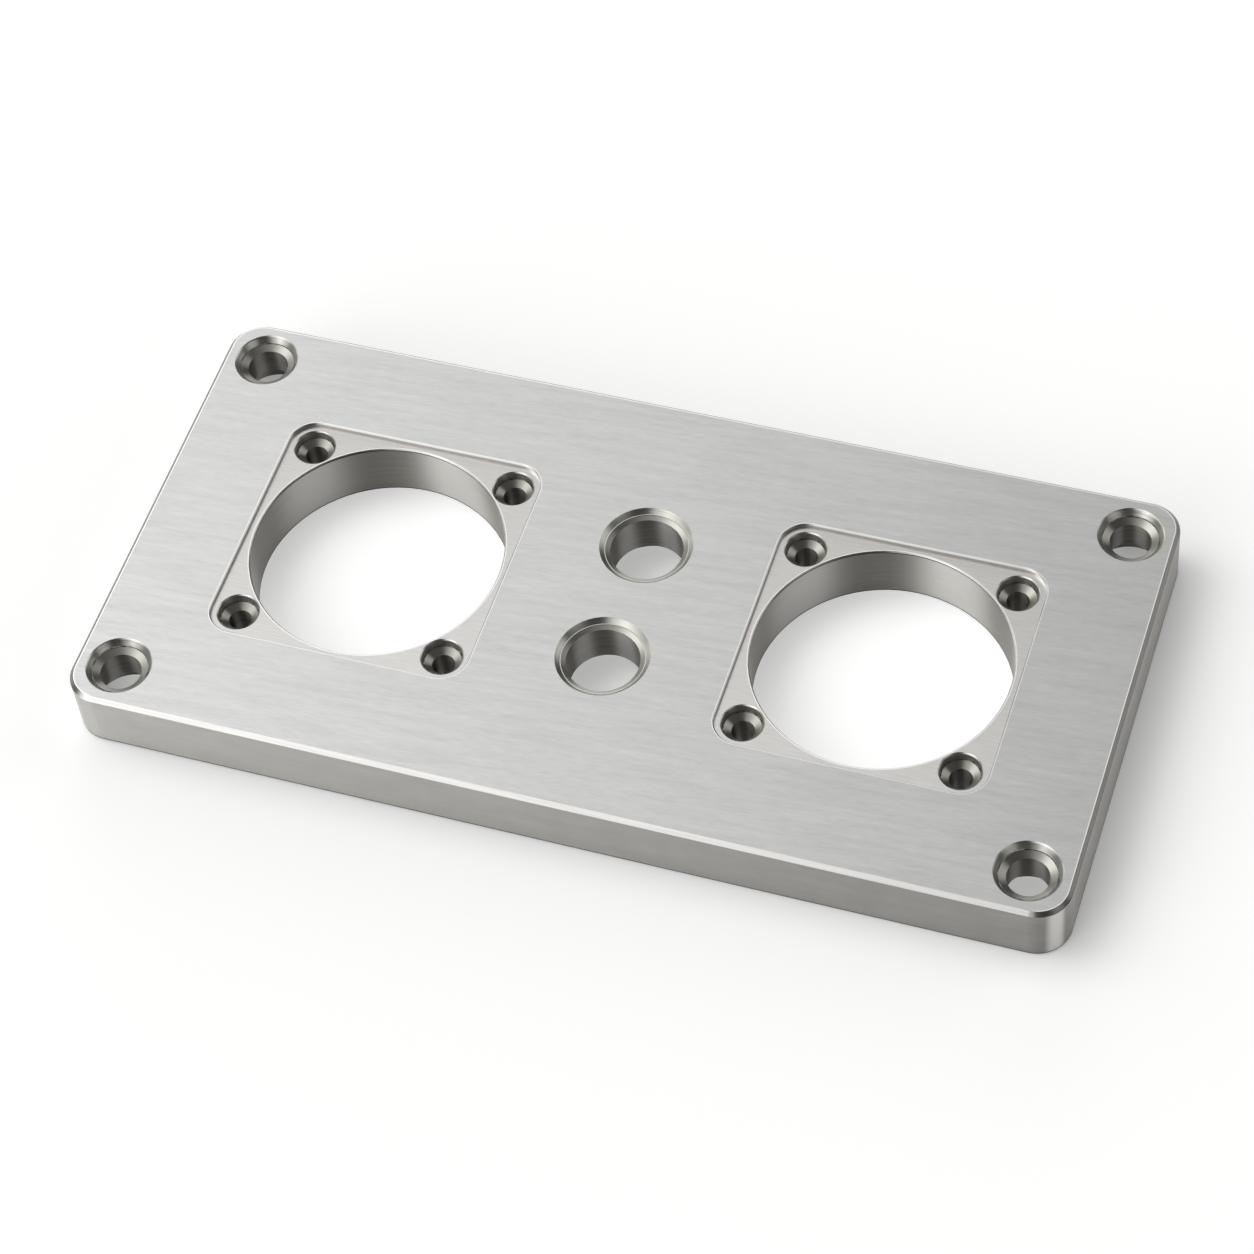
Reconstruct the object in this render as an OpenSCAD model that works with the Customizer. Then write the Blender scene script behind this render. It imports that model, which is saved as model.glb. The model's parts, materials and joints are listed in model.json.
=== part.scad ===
// Connector panel: one rectangular metal plate, machined all over from one piece.
// Two large ports each sit in a shallow square recess that seats a flanged connector,
// with four countersunk screw holes in the recess corners.
// Two smaller gland holes stand one above the other between the ports,
// and a countersunk hole in each corner of the plate fixes the panel.
// The corner and gland holes are counterbored from the underside to clear their nuts.
// The frame has its origin under the middle of the plate, on the face that it rests on:
// +X runs along the long edges, +Y across the plate and +Z out of the recessed face.

/* [Plate] */
// Length of the plate, along X
plate_length = 220; // [200:1:320]
// Width of the plate, along Y
plate_width = 108; // [96:1:180]
// Thickness of the plate
plate_thickness = 15; // [13:0.5:30]
// Radius of the four upright corners
plate_corner_r = 7.5; // [4:0.5:14]
// Chamfer that runs round the top face
top_chamfer = 0.9; // [0.3:0.1:2]
// Fine chamfer that takes the burr off the underside's edge
base_chamfer = 0.3; // [0.1:0.1:1]
// Edge break on every hole and recess
edge_break = 0.25; // [0.1:0.05:0.4]

/* [Corner holes] */
// Distance from each corner hole's axis to both plate edges beside it
corner_hole_inset = 10; // [9:0.5:20]
// Clear diameter of the corner holes, for M8 screws
corner_hole_d = 9; // [5:0.5:10]
// Diameter of a corner hole's mouth at the top face
corner_mouth_d = 14; // [13:0.5:16]
// Diameter of the conical seat at the foot of the mouth
corner_seat_d = 12.1; // [11:0.1:12.5]
// Depth of the tapered lead-in above the seat
corner_lead_depth = 1.5; // [0.8:0.1:4]
// Depth of the conical seat
corner_seat_depth = 0.8; // [0.4:0.1:3]
// Diameter of the counterbore in the underside
corner_relief_d = 16; // [12:0.5:17.5]
// Depth of that counterbore
corner_relief_depth = 6; // [1:0.5:8]

/* [Connector ports] */
// Distance between the axes of the two ports, along X
port_spacing = 114; // [100:1:124]
// Diameter of each port's bore
port_d = 56; // [40:1:57]
// Depth of the square recess below the top face
recess_depth = 1; // [0.5:0.1:4]
// Radius of the recess's corners, which are centred on the screw holes
recess_corner_r = 6; // [5.5:0.25:7]

/* [Flange screw holes] */
// Distance from a port's wall to the axes of its screw holes
port_to_screw = 5.25; // [5.1:0.05:8]
// Clear diameter of the screw holes
screw_hole_d = 5; // [3:0.1:6]
// Diameter of a screw hole's mouth at the recess floor
screw_mouth_d = 9; // [8.6:0.1:9.2]
// Diameter of the conical seat at the foot of the mouth
screw_seat_d = 8.1; // [7:0.1:8.2]
// Depth of the tapered lead-in above the seat
screw_lead_depth = 1.7; // [0.8:0.1:3]
// Depth of the conical seat
screw_seat_depth = 1; // [0.4:0.1:3]

/* [Gland holes] */
// Distance between the axes of the two gland holes, along Y
gland_spacing = 30.5; // [26:0.5:60]
// Clear diameter of the gland holes
gland_hole_d = 16; // [10:0.5:17]
// Diameter of a gland hole's mouth at the top face
gland_mouth_d = 20; // [19:0.5:24]
// Diameter of the conical seat at the foot of the mouth
gland_seat_d = 18.1; // [17.5:0.1:18.5]
// Depth of the tapered lead-in above the seat
gland_lead_depth = 1; // [0.6:0.1:4]
// Depth of the conical seat
gland_seat_depth = 0.45; // [0.2:0.05:3]
// Diameter of the counterbore in the underside, for the locknut
gland_relief_d = 22; // [18:0.5:24]
// Depth of that counterbore
gland_relief_depth = 4; // [1:0.5:8]

/* [Hidden] */
$fn = 96;

// Width of the fine shoulder between a lead-in and its seat, and its drop
shoulder = 0.15;
// How far a cut runs past the face that it leaves through
overrun = 1;
// Polished and brushed plate
metal = [0.80, 0.80, 0.79];

sides = [-1, 1];
recess_floor_z = plate_thickness - recess_depth;
corner_hole_x = plate_length / 2 - corner_hole_inset;
corner_hole_y = plate_width / 2 - corner_hole_inset;

// The screw holes stand on the port's diagonals, and the recess follows them
screw_offset = (port_d / 2 + port_to_screw) / sqrt(2);
recess_side = 2 * (screw_offset + recess_corner_r);

// Points up one side of a section: each is [distance from the axis, height],
// made from wall points that give the distance past a nominal half width
function side_points(half_width, wall) = [for (p = wall) [half_width + p[0], p[1]]];

// The same points on the far side, from the top down
function far_side_points(half_width, wall) =
    [for (i = [len(wall) - 1 : -1 : 0]) [-half_width - wall[i][0], wall[i][1]]];

function section(half_width, wall) =
    concat(side_points(half_width, wall), far_side_points(half_width, wall));

// Half section of a turned form, closed along its axis
function half_section(radius, wall) =
    concat(
        [[0, wall[0][1]]],
        side_points(radius, wall),
        [[0, wall[len(wall) - 1][1]]]
    );

// Walls of holes are listed from the bottom up, as distances past the clear radius.
// This is the foot of a plain hole, where it leaves the underside
plain_foot = [
    [edge_break, -overrun],
    [edge_break, 0],
    [0, edge_break]
];

// The foot of a hole that is counterbored from the underside
function relieved_foot(relief, depth) = [
    [relief + edge_break, -overrun],
    [relief + edge_break, 0],
    [relief, edge_break],
    [relief, depth],
    [edge_break, depth],
    [0, depth + edge_break]
];

// A straight hole, cut down from a face at height top_z
function through_wall(top_z) = concat(plain_foot, [
    [0, top_z - edge_break],
    [edge_break, top_z],
    [edge_break, top_z + overrun]
]);

// A hole with a conical seat and a tapered lead-in above it
function seated_wall(foot, top_z, seat, mouth, lead_depth, seat_depth) = concat(foot, [
    [0, top_z - lead_depth - shoulder - seat_depth],
    [seat, top_z - lead_depth - shoulder],
    [seat, top_z - lead_depth],
    [seat + shoulder, top_z - lead_depth],
    [mouth, top_z - edge_break],
    [mouth + edge_break, top_z],
    [mouth + edge_break, top_z + overrun]
]);

// A form turned about Z
module turned(radius, wall) {
    rotate_extrude()
        polygon(half_section(radius, wall));
}

// A block with upright rounded corners, whose wall follows the given points all round
module rounded_block(length, width, radius, wall) {
    straight_x = length / 2 - radius;
    straight_y = width / 2 - radius;
    rotate([90, 0, 90])
        linear_extrude(2 * straight_x, center = true)
            polygon(section(width / 2, wall));
    rotate([90, 0, 0])
        linear_extrude(2 * straight_y, center = true)
            polygon(section(length / 2, wall));
    for (sx = sides, sy = sides)
        translate([sx * straight_x, sy * straight_y, 0])
            turned(radius, wall);
}

// The plate before any hole: chamfered round its top face and deburred underneath
module blank() {
    wall = [
        [-base_chamfer, 0],
        [0, base_chamfer],
        [0, plate_thickness - top_chamfer],
        [-top_chamfer, plate_thickness]
    ];
    rounded_block(plate_length, plate_width, plate_corner_r, wall);
}

// One hole with a lead-in and a seat, cut from a face at height top_z
module seated_hole(hole_d, seat_d, mouth_d, lead_depth, seat_depth, top_z, foot) {
    seat = (seat_d - hole_d) / 2;
    mouth = (mouth_d - hole_d) / 2;
    turned(hole_d / 2, seated_wall(foot, top_z, seat, mouth, lead_depth, seat_depth));
}

// Fixing hole near a corner of the plate
module corner_hole() {
    relief = (corner_relief_d - corner_hole_d) / 2;
    seated_hole(corner_hole_d, corner_seat_d, corner_mouth_d,
        corner_lead_depth, corner_seat_depth, plate_thickness,
        relieved_foot(relief, corner_relief_depth));
}

// Flange screw hole in a recess corner
module screw_hole() {
    seated_hole(screw_hole_d, screw_seat_d, screw_mouth_d,
        screw_lead_depth, screw_seat_depth, recess_floor_z, plain_foot);
}

// Gland hole between the ports
module gland_hole() {
    relief = (gland_relief_d - gland_hole_d) / 2;
    seated_hole(gland_hole_d, gland_seat_d, gland_mouth_d,
        gland_lead_depth, gland_seat_depth, plate_thickness,
        relieved_foot(relief, gland_relief_depth));
}

// Shallow square pocket for a connector's flange
module recess() {
    wall = [
        [0, recess_floor_z],
        [0, plate_thickness - edge_break],
        [edge_break, plate_thickness],
        [edge_break, plate_thickness + overrun]
    ];
    rounded_block(recess_side, recess_side, recess_corner_r, wall);
}

// Everything that one connector needs: recess, port and four screw holes
module port() {
    recess();
    turned(port_d / 2, through_wall(recess_floor_z));
    for (sx = sides, sy = sides)
        translate([sx * screw_offset, sy * screw_offset, 0])
            screw_hole();
}

module panel() {
    color(metal)
        difference() {
            blank();
            for (sx = sides, sy = sides)
                translate([sx * corner_hole_x, sy * corner_hole_y, 0])
                    corner_hole();
            for (sx = sides)
                translate([sx * port_spacing / 2, 0, 0])
                    port();
            for (sy = sides)
                translate([0, sy * gland_spacing / 2, 0])
                    gland_hole();
        }
}

panel();
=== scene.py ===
# Connector panel: one stainless plate, machined all over, with two flanged ports in
# shallow square recesses, two gland holes between them and a fixing hole in each corner.
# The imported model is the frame, in metres: +X along the plate, +Y across it, +Z up.

import json
import math

import bpy
from mathutils import Euler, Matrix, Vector


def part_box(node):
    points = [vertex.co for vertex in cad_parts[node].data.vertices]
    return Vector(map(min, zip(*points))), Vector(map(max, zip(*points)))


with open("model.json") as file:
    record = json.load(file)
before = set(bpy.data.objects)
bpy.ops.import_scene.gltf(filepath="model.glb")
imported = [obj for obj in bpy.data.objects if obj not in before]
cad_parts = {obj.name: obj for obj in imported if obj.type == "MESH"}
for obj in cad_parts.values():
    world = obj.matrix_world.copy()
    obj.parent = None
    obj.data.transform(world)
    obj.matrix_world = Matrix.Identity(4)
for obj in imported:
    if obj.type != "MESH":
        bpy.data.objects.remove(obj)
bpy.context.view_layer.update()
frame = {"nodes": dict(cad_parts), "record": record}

# Broad faces of the plate: a block of stainless bar, ground flat and belt brushed into
# short soft hairlines a few degrees off the long edges, with a sheen across them. A painted
# highlight runs as a bright line at the ends and the back, and a fainter one round each recess.
MM = 0.001
panel = frame["nodes"]["panel"]
panel.data.materials.clear()
plate_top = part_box("panel")[1]
plate_corner_radius = 7.5 * MM
outer_corner = (plate_top.x - plate_corner_radius, plate_top.y - plate_corner_radius, 1)
recess_corner_radius = 6 * MM
chamfer = 0.9 * MM
edge_break = 0.25 * MM
brush_angle = math.radians(3)
hairline_size = Vector((3, 0.3, 0.3)) * MM  # real ones are finer and wouldn't show
pass_size = Vector((16, 1.3, 1.3)) * MM
# width of the painted highlight lines at the rim, round the recesses and round the ports
highlight_line_width = 0.2 * MM
groove_depth = 0.01 * MM
mounts = {mount["name"]: mount for mount in frame["record"]["mounts"]}
port_x = mounts["right_port"]["pos_m"][0]
recess_corner = mounts["right_port_screws"]["dims"]["spacing_x_mm"] / 2 * MM
recess_highlight_share = 0.6  # how bright the line round a recess is, of the rim's
pass_share = 0.5
groove_roughness = 0.42
ridge_roughness = 0.32
FIRST_COLOUR, SECOND_COLOUR, MIXED_COLOUR = 6, 7, 2  # sockets of a Mix node for colours


def shade(hex_code):
    """An sRGB hex colour as the linear colour that a socket takes."""
    shares = [int(hex_code[i : i + 2], 16) / 255 for i in (1, 3, 5)]
    linear = [s / 12.92 if s <= 0.04045 else ((s + 0.055) / 1.055) ** 2.4 for s in shares]
    return (*linear, 1)


def add(tree, kind, inputs=None, **settings):
    """Adds one node with its settings; inputs gives values, or outputs to link from."""
    made = tree.nodes.new(kind)
    for name, value in settings.items():
        setattr(made, name, value)
    for socket, value in (inputs or {}).items():
        if isinstance(value, bpy.types.NodeSocket):
            tree.links.new(value, made.inputs[socket])
        else:
            made.inputs[socket].default_value = value
    return made


def new_finish(name):
    """An empty material, its node tree and the place on the object in metres."""
    material = bpy.data.materials.new(name)
    material.use_nodes = True
    tree = material.node_tree
    tree.nodes.clear()
    return material, tree, add(tree, "ShaderNodeTexCoord").outputs["Object"]


def streaks(tree, place, size, detail=2):
    """Noise whose blots are about as long, wide and high as the given size."""
    spot = add(tree, "ShaderNodeVectorMath", {
        0: place,
        1: [1 / side for side in size],
    }, operation="MULTIPLY")
    return add(tree, "ShaderNodeTexNoise", {
        "Vector": spot.outputs["Vector"],
        "Scale": 1,
        "Detail": detail,
    }).outputs["Fac"]


def reach(tree, place, corner):
    """How far a point lies past the corner centres of a rounded rectangle."""
    spot = add(tree, "ShaderNodeVectorMath", {0: place}, operation="ABSOLUTE")
    spot = add(tree, "ShaderNodeVectorMath", {
        0: spot.outputs["Vector"],
        1: corner,
    }, operation="SUBTRACT")
    spot = add(tree, "ShaderNodeVectorMath", {
        0: spot.outputs["Vector"],
        1: (0, 0, 0),
    }, operation="MAXIMUM")
    spot = add(tree, "ShaderNodeVectorMath", {0: spot.outputs["Vector"]}, operation="LENGTH")
    return spot.outputs["Value"]


def recess_reach(tree, place):
    """How far a point lies past the corner centres of the nearer recess."""
    spot = add(tree, "ShaderNodeVectorMath", {0: place}, operation="ABSOLUTE")
    spot = add(tree, "ShaderNodeVectorMath", {
        0: spot.outputs["Vector"],
        1: (port_x, 0, 0),
    }, operation="SUBTRACT")
    return reach(tree, spot.outputs["Vector"], (recess_corner, recess_corner, 1))


def past_rim(tree, place):
    """Whether a point lies past the chamfer's inner edge, or within a highlight line of it."""
    return add(tree, "ShaderNodeMath", {
        0: reach(tree, place, outer_corner),
        1: plate_corner_radius - chamfer - highlight_line_width,
    }, operation="GREATER_THAN").outputs["Value"]


brushed, tree, place = new_finish("stainless_steel_belt_brushed")
brush_place = add(tree, "ShaderNodeMapping", {
    "Vector": place,
    "Rotation": (0, 0, -brush_angle),
}).outputs["Vector"]
hairlines = streaks(tree, brush_place, hairline_size)
tone = add(tree, "ShaderNodeMix", {
    "Factor": pass_share,
    "A": hairlines,
    "B": streaks(tree, brush_place, pass_size, detail=4),
}).outputs["Result"]
satin = add(tree, "ShaderNodeMix", {
    "Factor": tone,
    FIRST_COLOUR: shade("#a0a09f"),
    SECOND_COLOUR: shade("#cbcbca"),
}, data_type="RGBA").outputs[MIXED_COLOUR]
# painted highlight: a bright line round each recess, and along the rim at the ends and back
recess_highlight = add(tree, "ShaderNodeMath", {
    0: recess_reach(tree, place),
    1: recess_corner_radius + edge_break + highlight_line_width,
}, operation="LESS_THAN").outputs["Value"]
spot = add(tree, "ShaderNodeSeparateXYZ", {"Vector": place}).outputs
off_front = add(tree, "ShaderNodeMath", {
    0: spot["Y"],
    1: chamfer + highlight_line_width - plate_top.y,
}, operation="GREATER_THAN").outputs["Value"]
rim_highlight = add(tree, "ShaderNodeMath", {
    0: past_rim(tree, place),
    1: off_front,
}, operation="MULTIPLY")
recess_highlight = add(tree, "ShaderNodeMath", {
    0: recess_highlight,
    1: recess_highlight_share,
}, operation="MULTIPLY")
highlight_mask = add(tree, "ShaderNodeMath", {
    0: rim_highlight.outputs["Value"],
    1: recess_highlight.outputs["Value"],
}, operation="MAXIMUM")
on_top = add(tree, "ShaderNodeMath", {
    0: spot["Z"],
    1: plate_top.z / 2,
}, operation="GREATER_THAN")
highlight_mask = add(tree, "ShaderNodeMath", {
    0: highlight_mask.outputs["Value"],
    1: on_top.outputs["Value"],
}, operation="MULTIPLY")
# the painted highlight lines take a near-white colour
colour = add(tree, "ShaderNodeMix", {
    "Factor": highlight_mask.outputs["Value"],
    FIRST_COLOUR: satin,
    SECOND_COLOUR: shade("#e9e8e5"),
}, data_type="RGBA").outputs[MIXED_COLOUR]
roughness = add(tree, "ShaderNodeMapRange", {
    "Value": tone,
    "To Min": groove_roughness,
    "To Max": ridge_roughness,
}).outputs["Result"]
grooves = add(tree, "ShaderNodeBump", {
    "Height": hairlines,
    "Strength": 0.15,
    "Distance": groove_depth,
}).outputs["Normal"]
across_grain = add(tree, "ShaderNodeCombineXYZ", {
    "X": -math.sin(brush_angle),
    "Y": math.cos(brush_angle),
}).outputs["Vector"]
surface = add(tree, "ShaderNodeBsdfPrincipled", {
    "Base Color": colour,
    "Metallic": 1,
    "Roughness": roughness,
    "Anisotropic": 0.8,
    "Tangent": across_grain,
    "Normal": grooves,
})
add(tree, "ShaderNodeOutputMaterial", {"Surface": surface.outputs["BSDF"]})

# Sides of the plate, milled square and ground along the edge, so their faint lines run
# level right round. Painted shade leaves the left end the brighter one and darkens the sides
# towards the right, and a painted sheen runs up the right-hand corners, stronger at the right.
# A painted highlight runs along the top of the end walls, and painted shadow darkens the foot.
side_line_size = Vector((15, 15, 0.2)) * MM
smudge_size = Vector((9, 9, 5)) * MM
# height of the dark band of painted shadow at the foot
foot_shadow_height = 0.6 * MM
smudge_share = 0.5
# painted shade along the sides, light at the left end and dark at the right
rightward_shade_at_left = 0.12
rightward_shade_at_right = 0.9
band_start = 0.38  # slant of a corner's face, which is 0.5 half way round
band_middle = 0.5
# near-white painted sheen, for the right-hand corners and the top line at the ends
painted_sheen = shade("#dddcd9")
ground, tree, place = new_finish("stainless_steel_edge_ground")
lines = streaks(tree, place, side_line_size)
tone = add(tree, "ShaderNodeMix", {
    "Factor": smudge_share,
    "A": lines,
    "B": streaks(tree, place, smudge_size),
}).outputs["Result"]
spot = add(tree, "ShaderNodeSeparateXYZ", {"Vector": place}).outputs
# painted shade rising from the left end to the right; it also sets the corner sheen
rightward_shade = add(tree, "ShaderNodeMapRange", {
    "Value": spot["X"],
    "From Min": -plate_top.x,
    "From Max": plate_top.x,
    "To Min": rightward_shade_at_left,
    "To Max": rightward_shade_at_right,
}).outputs["Result"]
satin = add(tree, "ShaderNodeMix", {
    "Factor": add(tree, "ShaderNodeMix", {"A": tone, "B": rightward_shade}).outputs["Result"],
    FIRST_COLOUR: shade("#c2c1bd"),
    SECOND_COLOUR: shade("#817f7b"),
}, data_type="RGBA").outputs[MIXED_COLOUR]
facing = add(tree, "ShaderNodeTexCoord").outputs["Normal"]
facing = add(tree, "ShaderNodeSeparateXYZ", {"Vector": facing}).outputs
slant = add(tree, "ShaderNodeMath", {0: facing["X"], 1: facing["Y"]}, operation="MULTIPLY")
slant = add(tree, "ShaderNodeMath", {0: slant.outputs["Value"]}, operation="ABSOLUTE")
# painted sheen in a band up each rounded corner
corner_sheen = add(tree, "ShaderNodeMapRange", {
    "Value": slant.outputs["Value"],
    "From Min": band_start,
    "From Max": band_middle,
    "To Max": rightward_shade,
}, interpolation_type="SMOOTHSTEP").outputs["Result"]
colour = add(tree, "ShaderNodeMix", {
    "Factor": corner_sheen,
    FIRST_COLOUR: satin,
    SECOND_COLOUR: painted_sheen,
}, data_type="RGBA").outputs[MIXED_COLOUR]
# painted highlight: a bright line at the top of the end walls
top_edge_highlight = add(tree, "ShaderNodeMath", {
    0: spot["Z"],
    1: plate_top.z - chamfer - highlight_line_width,
}, operation="GREATER_THAN").outputs["Value"]
at_end = add(tree, "ShaderNodeMath", {0: facing["X"]}, operation="ABSOLUTE").outputs["Value"]
top_edge_highlight = add(tree, "ShaderNodeMath", {0: top_edge_highlight, 1: at_end}, operation="MULTIPLY")
colour = add(tree, "ShaderNodeMix", {
    "Factor": top_edge_highlight.outputs["Value"],
    FIRST_COLOUR: colour,
    SECOND_COLOUR: painted_sheen,
}, data_type="RGBA").outputs[MIXED_COLOUR]
# painted shadow: a dark band along the foot, where the sides meet the floor
foot_shadow = add(tree, "ShaderNodeMath", {
    0: spot["Z"],
    1: foot_shadow_height,
}, operation="LESS_THAN").outputs["Value"]
colour = add(tree, "ShaderNodeMix", {
    "Factor": foot_shadow,
    FIRST_COLOUR: colour,
    SECOND_COLOUR: shade("#5a5852"),
}, data_type="RGBA").outputs[MIXED_COLOUR]
grooves = add(tree, "ShaderNodeBump", {
    "Height": lines,
    "Strength": 0.1,
    "Distance": groove_depth,
}).outputs["Normal"]
upright = add(tree, "ShaderNodeCombineXYZ", {"Z": 1}).outputs["Vector"]
surface = add(tree, "ShaderNodeBsdfPrincipled", {
    "Base Color": colour,
    "Metallic": 1,
    "Roughness": 0.42,
    "Anisotropic": 0.9,
    "Tangent": upright,
    "Normal": grooves,
})
add(tree, "ShaderNodeOutputMaterial", {"Surface": surface.outputs["BSDF"]})

# Chamfer round the top face and the fine edge breaks. A sharp cutter leaves them smooth
# and bright, with fine lines along the edge. Painted shade makes the chamfer dark at the ends
# and the back, and leaves it bright at the front.
cut_line_size = Vector((15, 15, 0.12)) * MM
front_facing = -0.7  # the share of a chamfer's facing along Y, -0.71 at the front
end_facing = -0.55
bright_cut, tree, place = new_finish("stainless_steel_bright_cut_edges")
lines = streaks(tree, place, cut_line_size)
unshaded_cut = add(tree, "ShaderNodeMix", {
    "Factor": lines,
    FIRST_COLOUR: shade("#a4a3a0"),
    SECOND_COLOUR: shade("#c8c7c4"),
}, data_type="RGBA").outputs[MIXED_COLOUR]
# painted shade: a darker copy of the cut colour for the chamfer's ends and back
shaded_cut = add(tree, "ShaderNodeMix", {
    "Factor": lines,
    FIRST_COLOUR: shade("#73716d"),
    SECOND_COLOUR: shade("#8f8d89"),
}, data_type="RGBA").outputs[MIXED_COLOUR]
facing = add(tree, "ShaderNodeTexCoord").outputs["Normal"]
off_front = add(tree, "ShaderNodeMapRange", {
    "Value": add(tree, "ShaderNodeSeparateXYZ", {"Vector": facing}).outputs["Y"],
    "From Min": front_facing,
    "From Max": end_facing,
}, interpolation_type="SMOOTHSTEP").outputs["Result"]
# the painted shade falls on chamfer faces turned away from the front
cut_shade = add(tree, "ShaderNodeMath", {
    0: off_front,
    1: past_rim(tree, place),
}, operation="MULTIPLY")
colour = add(tree, "ShaderNodeMix", {
    "Factor": cut_shade.outputs["Value"],
    FIRST_COLOUR: unshaded_cut,
    SECOND_COLOUR: shaded_cut,
}, data_type="RGBA").outputs[MIXED_COLOUR]
roughness = add(tree, "ShaderNodeMapRange", {
    "Value": lines,
    "To Min": 0.26,
    "To Max": 0.3,
}).outputs["Result"]
upright = add(tree, "ShaderNodeCombineXYZ", {"Z": 1}).outputs["Vector"]
surface = add(tree, "ShaderNodeBsdfPrincipled", {
    "Base Color": colour,
    "Metallic": 1,
    "Roughness": roughness,
    "Anisotropic": 0.6,
    "Tangent": upright,
})
add(tree, "ShaderNodeOutputMaterial", {"Surface": surface.outputs["BSDF"]})

# Recess floors and walls. An end mill leaves them smoother than the brushed face, with
# faint lines of its own, and a painted highlight draws a bright line round each port.
mill_line_size = Vector((6, 0.35, 0.35)) * MM
port_radius = mounts["right_port"]["dims"]["r_mm"] * MM
seat_height = mounts["right_flange_seat"]["pos_m"][2]
milled, tree, place = new_finish("stainless_steel_end_milled")
mill_lines = streaks(tree, place, mill_line_size, detail=1)
satin = add(tree, "ShaderNodeMix", {
    "Factor": mill_lines,
    FIRST_COLOUR: shade("#bfbdba"),
    SECOND_COLOUR: shade("#d7d5d2"),
}, data_type="RGBA").outputs[MIXED_COLOUR]
spot = add(tree, "ShaderNodeVectorMath", {0: place}, operation="ABSOLUTE")
spot = add(tree, "ShaderNodeVectorMath", {
    0: spot.outputs["Vector"],
    1: (port_x, 0, seat_height),
}, operation="DISTANCE")
# painted highlight: a bright ring round the port's edge break
port_highlight = add(tree, "ShaderNodeMath", {
    0: spot.outputs["Value"],
    1: port_radius + edge_break + highlight_line_width,
}, operation="LESS_THAN").outputs["Value"]
colour = add(tree, "ShaderNodeMix", {
    "Factor": port_highlight,
    FIRST_COLOUR: satin,
    SECOND_COLOUR: shade("#f2f1ee"),
}, data_type="RGBA").outputs[MIXED_COLOUR]
roughness = add(tree, "ShaderNodeMapRange", {
    "Value": mill_lines,
    "To Min": 0.36,
    "To Max": 0.28,
}).outputs["Result"]
surface = add(tree, "ShaderNodeBsdfPrincipled", {
    "Base Color": colour,
    "Metallic": 1,
    "Roughness": roughness,
})
add(tree, "ShaderNodeOutputMaterial", {"Surface": surface.outputs["BSDF"]})

# Port walls. A boring bar turns them: its feed leaves fine level rings. Five soft bands of
# painted sheen run up the wall, and painted shade darkens a line at both edges of the wall.
edge_shade_width = 0.3 * MM
ring_size = Vector((14, 14, 0.22)) * MM  # a real feed is finer and wouldn't show
sheen_band_count = 5
sheen_band_share = 0.75


def sheen_bands(tree):
    """Soft bands of painted sheen round an upright wall, told by the way that it faces."""
    facing = add(tree, "ShaderNodeTexCoord").outputs["Normal"]
    turn = add(tree, "ShaderNodeTexGradient", {"Vector": facing}, gradient_type="RADIAL")
    turn = add(tree, "ShaderNodeMath", {
        0: turn.outputs["Fac"],
        1: sheen_band_count * math.tau,
    }, operation="MULTIPLY")
    wave = add(tree, "ShaderNodeMath", {0: turn.outputs["Value"]}, operation="COSINE")
    return add(tree, "ShaderNodeMapRange", {
        "Value": wave.outputs["Value"],
        "From Min": -1,
    }, interpolation_type="SMOOTHSTEP").outputs["Result"]


bored, tree, place = new_finish("stainless_steel_bored")
rings = streaks(tree, place, ring_size)
# the wall's tone mixes the fine rings with bands of painted sheen
tone = add(tree, "ShaderNodeMix", {
    "Factor": sheen_band_share,
    "A": rings,
    "B": sheen_bands(tree),
}).outputs["Result"]
colour = add(tree, "ShaderNodeMix", {
    "Factor": tone,
    FIRST_COLOUR: shade("#7a7771"),
    SECOND_COLOUR: shade("#c8c7c3"),
}, data_type="RGBA").outputs[MIXED_COLOUR]
height = add(tree, "ShaderNodeSeparateXYZ", {"Vector": place}).outputs["Z"]
off_middle = add(tree, "ShaderNodeMath", {0: height, 1: seat_height / 2}, operation="SUBTRACT")
off_middle = add(tree, "ShaderNodeMath", {0: off_middle.outputs["Value"]}, operation="ABSOLUTE")
# painted shade: a dark line at the top edge and at the foot of the wall
edge_shade = add(tree, "ShaderNodeMath", {
    0: off_middle.outputs["Value"],
    1: seat_height / 2 - edge_break - edge_shade_width,
}, operation="GREATER_THAN").outputs["Value"]
colour = add(tree, "ShaderNodeMix", {
    "Factor": edge_shade,
    FIRST_COLOUR: colour,
    SECOND_COLOUR: shade("#4a4843"),
}, data_type="RGBA").outputs[MIXED_COLOUR]
grooves = add(tree, "ShaderNodeBump", {
    "Height": rings,
    "Strength": 0.2,
    "Distance": groove_depth,
}).outputs["Normal"]
upright = add(tree, "ShaderNodeCombineXYZ", {"Z": 1}).outputs["Vector"]
surface = add(tree, "ShaderNodeBsdfPrincipled", {
    "Base Color": colour,
    "Metallic": 1,
    "Roughness": 0.46,
    "Anisotropic": 0.95,
    "Tangent": upright,
    "Normal": grooves,
})
add(tree, "ShaderNodeOutputMaterial", {"Surface": surface.outputs["BSDF"]})

# Mouths and seats of the countersinks. They are turned smooth, so one side of each
# ring is near white and the other near black. The flatter seats are a little duller.
mouth_level = 0.74  # how far a face looks up, from 0 for a wall to 1 for a floor
seat_level = 0.84
countersunk, tree, place = new_finish("stainless_steel_countersunk")
rings = streaks(tree, place, ring_size, detail=1)
turned = add(tree, "ShaderNodeMix", {
    "Factor": rings,
    FIRST_COLOUR: shade("#8e8d86"),
    SECOND_COLOUR: shade("#cbcac3"),
}, data_type="RGBA").outputs[MIXED_COLOUR]
facing = add(tree, "ShaderNodeTexCoord").outputs["Normal"]
flatness = add(tree, "ShaderNodeSeparateXYZ", {"Vector": facing}).outputs["Z"]
on_seat = add(tree, "ShaderNodeMapRange", {
    "Value": flatness,
    "From Min": mouth_level,
    "From Max": seat_level,
}).outputs["Result"]
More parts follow.
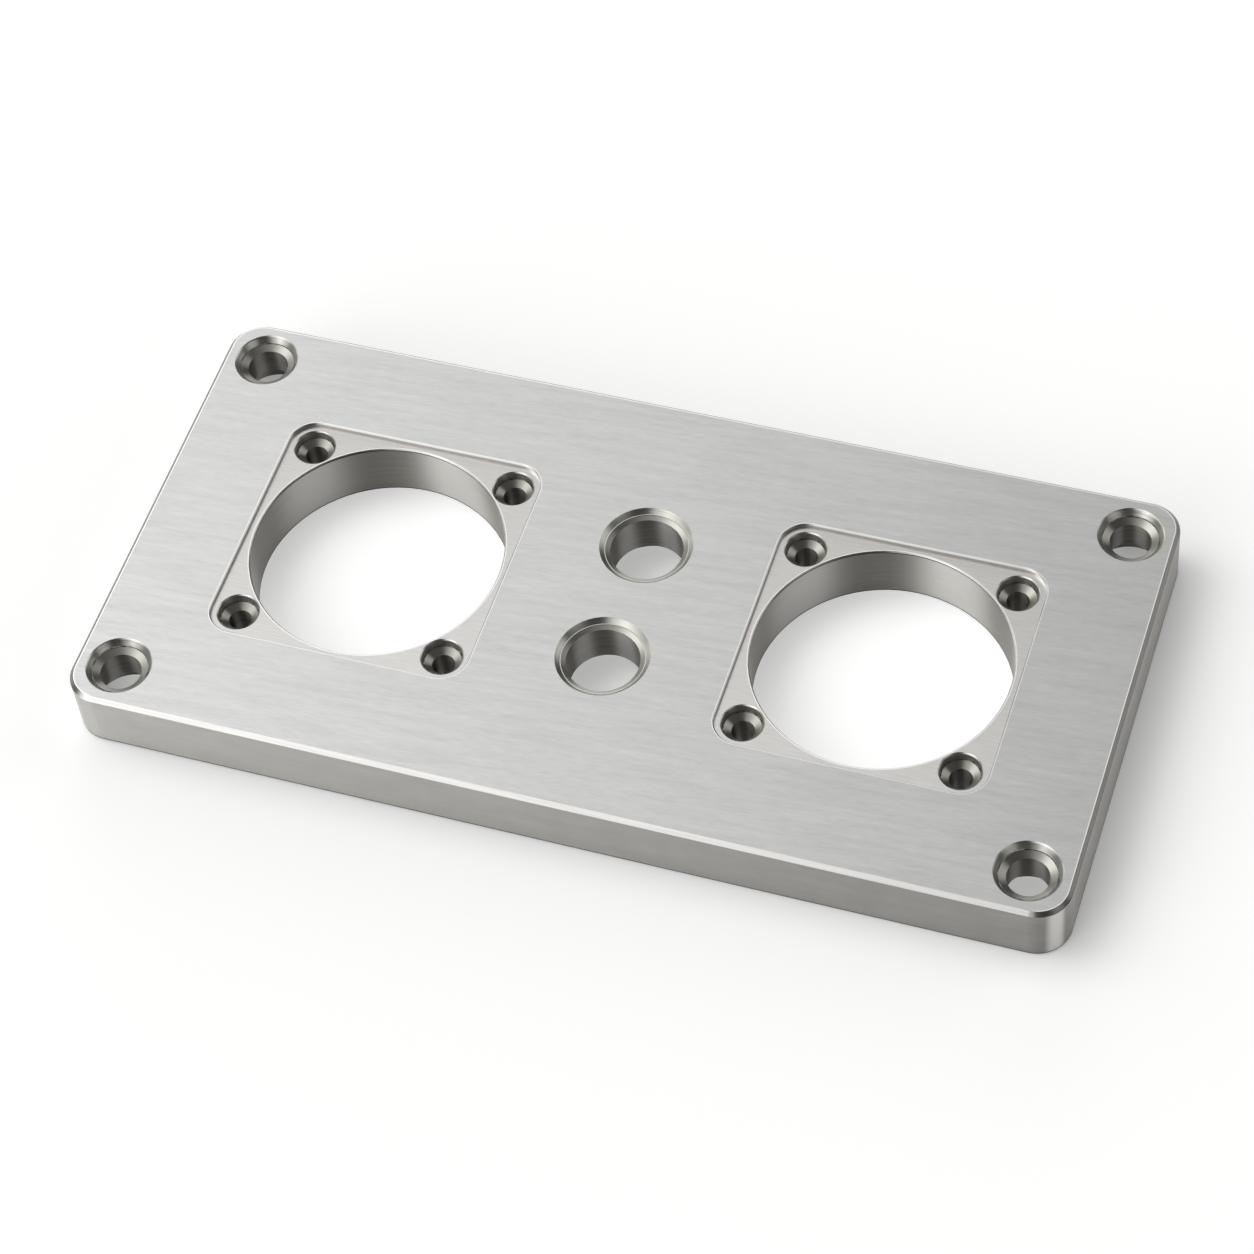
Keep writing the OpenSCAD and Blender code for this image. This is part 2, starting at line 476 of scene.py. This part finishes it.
colour = add(tree, "ShaderNodeMix", {
    "Factor": on_seat,
    FIRST_COLOUR: turned,
    SECOND_COLOUR: shade("#93928b"),
}, data_type="RGBA").outputs[MIXED_COLOUR]
upright = add(tree, "ShaderNodeCombineXYZ", {"Z": 1}).outputs["Vector"]
surface = add(tree, "ShaderNodeBsdfPrincipled", {
    "Base Color": colour,
    "Metallic": 1,
    "Roughness": 0.32,
    "Anisotropic": 0.8,
    "Tangent": upright,
})
add(tree, "ShaderNodeOutputMaterial", {"Surface": surface.outputs["BSDF"]})

# Walls of the smaller holes. They are drilled and reamed; their colour is darker and a little
# warm as painted shade inside the holes, with the same bands of painted sheen.
drilled_sheen_band_share = 0.6
drilled, tree, place = new_finish("stainless_steel_drilled")
rings = streaks(tree, place, ring_size)
tone = add(tree, "ShaderNodeMix", {
    "Factor": drilled_sheen_band_share,
    "A": rings,
    "B": sheen_bands(tree),
}).outputs["Result"]
# painted shade: the dark, warm end of the wall colour
colour = add(tree, "ShaderNodeMix", {
    "Factor": tone,
    FIRST_COLOUR: shade("#4b4944"),
    SECOND_COLOUR: shade("#bab8b3"),
}, data_type="RGBA").outputs[MIXED_COLOUR]
upright = add(tree, "ShaderNodeCombineXYZ", {"Z": 1}).outputs["Vector"]
surface = add(tree, "ShaderNodeBsdfPrincipled", {
    "Base Color": colour,
    "Metallic": 1,
    "Roughness": 0.42,
    "Anisotropic": 0.9,
    "Tangent": upright,
})
add(tree, "ShaderNodeOutputMaterial", {"Surface": surface.outputs["BSDF"]})

# Each face of the plate takes its finish from the tool that cut it, which is told by
# how steep the face is and where it lies among the holes and edges.
hair = 0.02 * MM
floor_level = 0.999
wall_level = 0.001
half_slope = math.sqrt(0.5)
slope_error = 0.01
holes = []
for mount in mounts.values():
    x, y, z = mount["pos_m"]
    dims = mount["dims"]
    if mount["kind"] == "bore":
        holes.append((x, y, dims["r_mm"] * MM))
    elif mount["kind"] == "bolt_pattern":
        for across in (-0.5, 0.5):
            for along in (-0.5, 0.5):
                hole_x = x + across * dims["spacing_x_mm"] * MM
                hole_y = y + along * dims["spacing_y_mm"] * MM
                holes.append((hole_x, hole_y, dims["hole_r_mm"] * MM))
finishes = [brushed, ground, bright_cut, milled, bored, countersunk, drilled]
for finish in finishes:
    panel.data.materials.append(finish)


def finish_of(face):
    """The finish that the tool left on this face of the plate."""
    x, y, z = face.center
    level = abs(face.normal.z)
    if level > floor_level:
        if z > plate_top.z - hair or z < hair:
            return brushed
        return milled if abs(z - seat_height) < hair else countersunk
    over_x = max(abs(x) - plate_top.x + plate_corner_radius, 0)
    over_y = max(abs(y) - plate_top.y + plate_corner_radius, 0)
    if math.hypot(over_x, over_y) > plate_corner_radius - chamfer - hair:
        return bright_cut if z > plate_top.z - chamfer else ground
    # an edge break lies just below one of the level faces, and slopes at 45 degrees
    depth = min(h - z for h in (plate_top.z, seat_height, edge_break) if h > z - hair)
    if abs(level - half_slope) < slope_error and depth < edge_break + hair:
        return bright_cut
    if level > wall_level:
        return countersunk
    # a wall that is off every clear bore belongs to a recess or a counterbore
    gap, radius = min((abs(math.hypot(x - a, y - b) - r), r) for a, b, r in holes)
    if gap > edge_break:
        return milled if z > seat_height else drilled
    return bored if radius == port_radius else drilled


for face in panel.data.polygons:
    face.material_index = finishes.index(finish_of(face))

# Camera, at the photograph's viewing angle: a long lens that looks down on the plate
# from the front, a little from the right.
film_width = 36
lens_length = 107.57
camera_stand = Vector((196.7, -439.2, 656.9)) * MM
tilt_roll_turn = (36.198, 4.547, 17.975)
camera = bpy.data.objects.new("camera", bpy.data.cameras.new("camera"))
camera.data.sensor_width = film_width
camera.data.lens = lens_length
camera.location = camera_stand
camera.rotation_euler = [math.radians(degrees) for degrees in tilt_roll_turn]
bpy.context.scene.collection.objects.link(camera)
bpy.context.scene.camera = camera

# Floor. A wide sheet of matt white paper on a light table, which glows a little all over;
# painted light makes it glow more under the plate, so it stays pale inside the holes. It lies
# a hair below the plate and is clear from beneath, so the underside can be seen too.
floor_half = 20  # metres, so that low views don't see past it
floor_drop = 0.02 * MM
table_glow = 0.22
# painted light: the extra glow under the plate
painted_light_under_plate = 0.4
floor_mesh = bpy.data.meshes.new("floor")
floor_mesh.from_pydata(
    [
        (-floor_half, -floor_half, -floor_drop),
        (floor_half, -floor_half, -floor_drop),
        (floor_half, floor_half, -floor_drop),
        (-floor_half, floor_half, -floor_drop),
    ],
    [],
    [(0, 1, 2, 3)],
)
floor = bpy.data.objects.new("floor", floor_mesh)
bpy.context.scene.collection.objects.link(floor)
paper, tree, place = new_finish("matt_white_paper")
glow = add(tree, "ShaderNodeMapRange", {
    "Value": reach(tree, place, outer_corner),
    "From Max": plate_corner_radius,
    "To Min": painted_light_under_plate,
    "To Max": table_glow,
}).outputs["Result"]
ray = add(tree, "ShaderNodeLightPath").outputs
seen = add(tree, "ShaderNodeMath", {0: ray["Is Camera Ray"], 1: ray["Is Glossy Ray"]})
seen = add(tree, "ShaderNodeMath", {
    0: seen.outputs["Value"],
    1: ray["Is Transmission Ray"],
}).outputs["Value"]
glow = add(tree, "ShaderNodeMath", {0: glow, 1: seen}, operation="MULTIPLY").outputs["Value"]
sheet = add(tree, "ShaderNodeBsdfDiffuse", {"Color": shade("#e9e9e8")})
floor_glow = add(tree, "ShaderNodeEmission", {"Color": shade("#ffffff"), "Strength": glow})
lit_sheet = add(tree, "ShaderNodeAddShader", {
    0: sheet.outputs["BSDF"],
    1: floor_glow.outputs["Emission"],
})
surface = add(tree, "ShaderNodeMixShader", {
    0: add(tree, "ShaderNodeNewGeometry").outputs["Backfacing"],
    1: lit_sheet.outputs["Shader"],
    2: add(tree, "ShaderNodeBsdfTransparent").outputs["BSDF"],
})
add(tree, "ShaderNodeOutputMaterial", {"Surface": surface.outputs["Shader"]})
floor_mesh.materials.append(paper)

# Light. White soft panels stand round the plate in a pale room, brightest from the front
# left round to the back and dimmer at the right, so the top shades off to the right. The
# metal mirrors the panels far more than the room.
room_in_metal = 0.05
panel_reach = math.cos(math.radians(30))
soft_panels = (  # turn from the front and height in degrees, and brightness
    (270, 50, 2.76),
    (283, 34, 0.9),
    (248, 4, 2.0),
    (240, 72, 1.58),
    (210, 50, 0.51),
    (202, 8, 2.84),
    (320, 6, 2.7),
    (338, 30, 2.0),
    (68, 8, 1.22),
    (129, 28, 1.51),
)
world = bpy.data.worlds.new("studio")
bpy.context.scene.world = world
world.use_nodes = True
tree = world.node_tree
toward = add(tree, "ShaderNodeTexCoord").outputs["Generated"]
glow = 0
for turn, height, brightness in soft_panels:
    middle = Vector((0, -1, 0))
    middle.rotate(Euler((math.radians(-height), 0, math.radians(turn))))
    closeness = add(tree, "ShaderNodeVectorMath", {
        0: toward,
        1: middle,
    }, operation="DOT_PRODUCT").outputs["Value"]
    soft_panel = add(tree, "ShaderNodeMapRange", {
        "Value": closeness,
        "From Min": panel_reach,
        "To Max": brightness,
    }, interpolation_type="SMOOTHSTEP").outputs["Result"]
    glow = add(tree, "ShaderNodeMath", {0: glow, 1: soft_panel}).outputs["Value"]
ray = add(tree, "ShaderNodeLightPath").outputs
seen = add(tree, "ShaderNodeMath", {0: ray["Is Camera Ray"], 1: ray["Is Transmission Ray"]})
seen = add(tree, "ShaderNodeMath", {
    0: ray["Is Glossy Ray"],
    1: room_in_metal,
    2: seen.outputs["Value"],
}, operation="MULTIPLY_ADD").outputs["Value"]
room = add(tree, "ShaderNodeMix", {"Factor": seen, "A": glow, "B": 1}).outputs["Result"]
tree.links.new(room, tree.nodes["Background"].inputs["Color"])

bpy.context.scene.view_settings.view_transform = "Standard"
